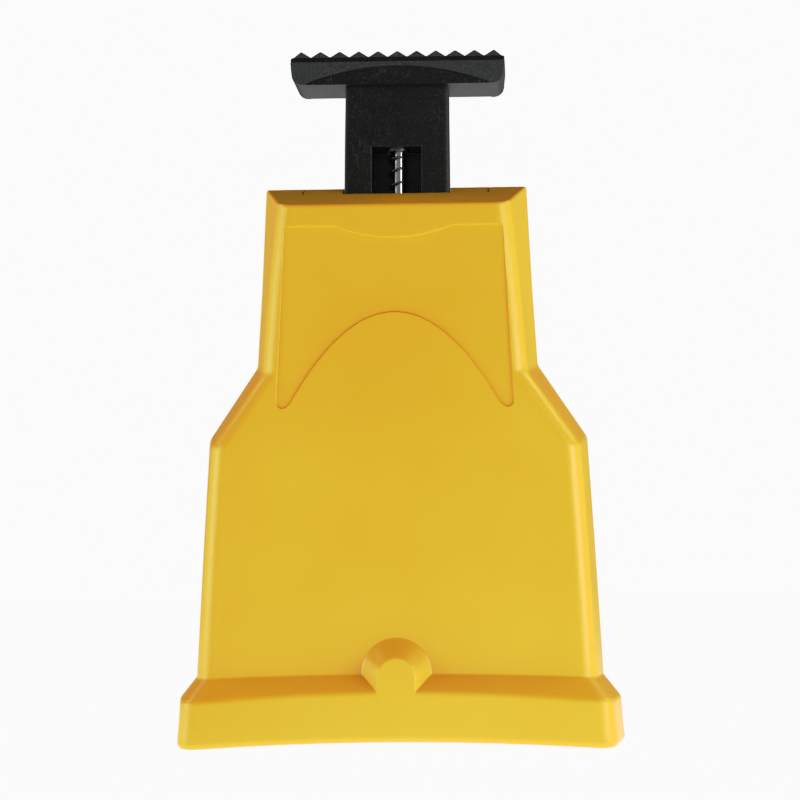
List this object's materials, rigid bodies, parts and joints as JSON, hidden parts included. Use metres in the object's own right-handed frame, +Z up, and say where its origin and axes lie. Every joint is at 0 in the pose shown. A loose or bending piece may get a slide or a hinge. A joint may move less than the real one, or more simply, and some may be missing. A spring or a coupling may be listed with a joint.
{
  "type": "bar-mount chain sharpener",
  "caption": "Hinged clamshell housing that pins onto a saw's guide bar, with a sprung T-shaped push block that presses an arc-shaped stone onto the running chain.",
  "frame": {"origin": "centre of the footprint, on the plane the flange's two rim ends stand on", "axes": "+Z up towards the ridged push pad, +X across the width, -Y towards the hinged front cover; y = 0 is the parting plane of the two halves"},
  "size_m": [0.1014, 0.043, 0.1577],
  "materials": {
    "housing_yellow": "satin moulded yellow",
    "cover_yellow": "satin moulded yellow",
    "guide_steel": "bare sheet",
    "screw_zinc": "zinc plated",
    "pin_steel": "ground",
    "spring_wire": "dark drawn wire",
    "washer_steel": "stamped",
    "bush_brass": "turned",
    "slide_black": "fine grain black",
    "rod_chrome": "polished",
    "carrier_black": "fine grain black",
    "stone_abrasive": "bonded abrasive grit",
    "keeper_steel": "bare sheet"
  },
  "bodies": {
    "rear_half": {"rear_shell": "housing_yellow", "guide_plate": "guide_steel", "guide_plate_screw_left": "screw_zinc", "guide_plate_screw_right": "screw_zinc", "bar_pin_lower": "pin_steel", "bar_pin_upper": "pin_steel", "bar_pin_screw_lower": "screw_zinc", "bar_pin_screw_upper": "screw_zinc", "hinge_pin_left": "pin_steel", "hinge_pin_right": "pin_steel", "return_spring": "spring_wire", "spring_seat": "washer_steel"},
    "front_half": {"front_cover": "cover_yellow", "socket_bush_lower": "bush_brass", "socket_bush_upper": "bush_brass"},
    "push_block": {"push_slide": "slide_black", "spring_rod": "rod_chrome", "rod_clip": "washer_steel", "spring_cap": "washer_steel", "stone_carrier": "carrier_black", "sharpening_stone": "stone_abrasive", "carrier_screw_left": "screw_zinc", "carrier_screw_right": "screw_zinc", "stone_keeper": "keeper_steel", "keeper_screw_left": "screw_zinc", "keeper_screw_right": "screw_zinc"}
  },
  "joints": [
    {"name": "cover_hinge", "type": "hinge", "parent": "rear_half", "child": "front_half", "pos_m": [0, -0.0026, 0.1236], "axis": [-1, 0, 0], "range_deg": [0, 30]},
    {"name": "push_travel", "type": "slide", "parent": "rear_half", "child": "push_block", "axis": [0, 0, -1], "range_m": [0, 0.012], "stiffness_N_per_m": 400, "springref_m": -0.01, "deforming": ["return_spring"]}
  ]
}
